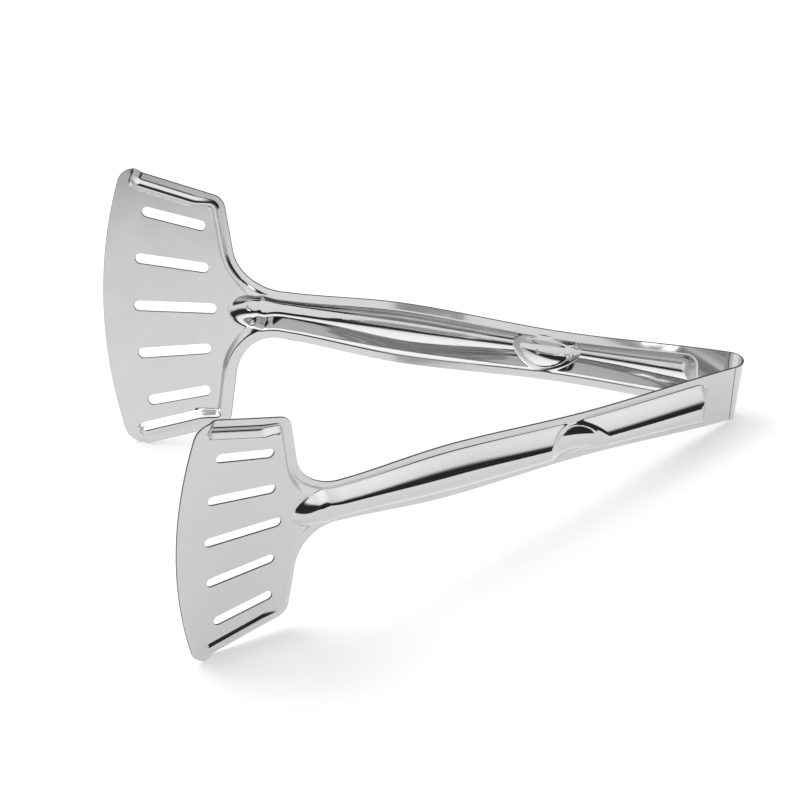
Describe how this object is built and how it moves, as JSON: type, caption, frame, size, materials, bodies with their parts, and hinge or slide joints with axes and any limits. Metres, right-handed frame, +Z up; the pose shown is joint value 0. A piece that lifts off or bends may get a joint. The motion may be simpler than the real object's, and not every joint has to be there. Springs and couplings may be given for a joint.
{
  "type": "fish tongs",
  "caption": "Sprung one-piece sheet steel tongs with channel-shaped arms, thumb dimples and wide slotted fan blades.",
  "frame": {"origin": "on the floor, under the centre of the part's box, with the pair lying on its side as pictured", "axes": "+X towards the bow that joins the arms, -X towards the blades, +Y towards the far arm, +Z up"},
  "size_m": [0.2614, 0.2302, 0.1223],
  "materials": {
    "polished_steel": "polished stainless steel, satin on the blade floors"
  },
  "bodies": {
    "bow": {"spring_bow": "polished_steel"},
    "far": {"far_arm": "polished_steel"},
    "near": {"near_arm": "polished_steel"}
  },
  "joints": [
    {"name": "far_arm_swing", "type": "hinge", "parent": "bow", "child": "far", "pos_m": [0.12025, 0, 0.01492], "axis": [0.4821, -0.0569, 0.8743], "range_deg": [0, 23.8], "stiffness_Nm_per_rad": 5},
    {"name": "near_arm_swing", "type": "hinge", "parent": "bow", "child": "near", "pos_m": [0.12025, 0, 0.01492], "axis": [-0.4821, -0.0569, -0.8743], "range_deg": [0, 23.8], "stiffness_Nm_per_rad": 5}
  ],
  "couplings": [
    {"joint": "near_arm_swing", "follows": "far_arm_swing", "ratio": 1}
  ]
}
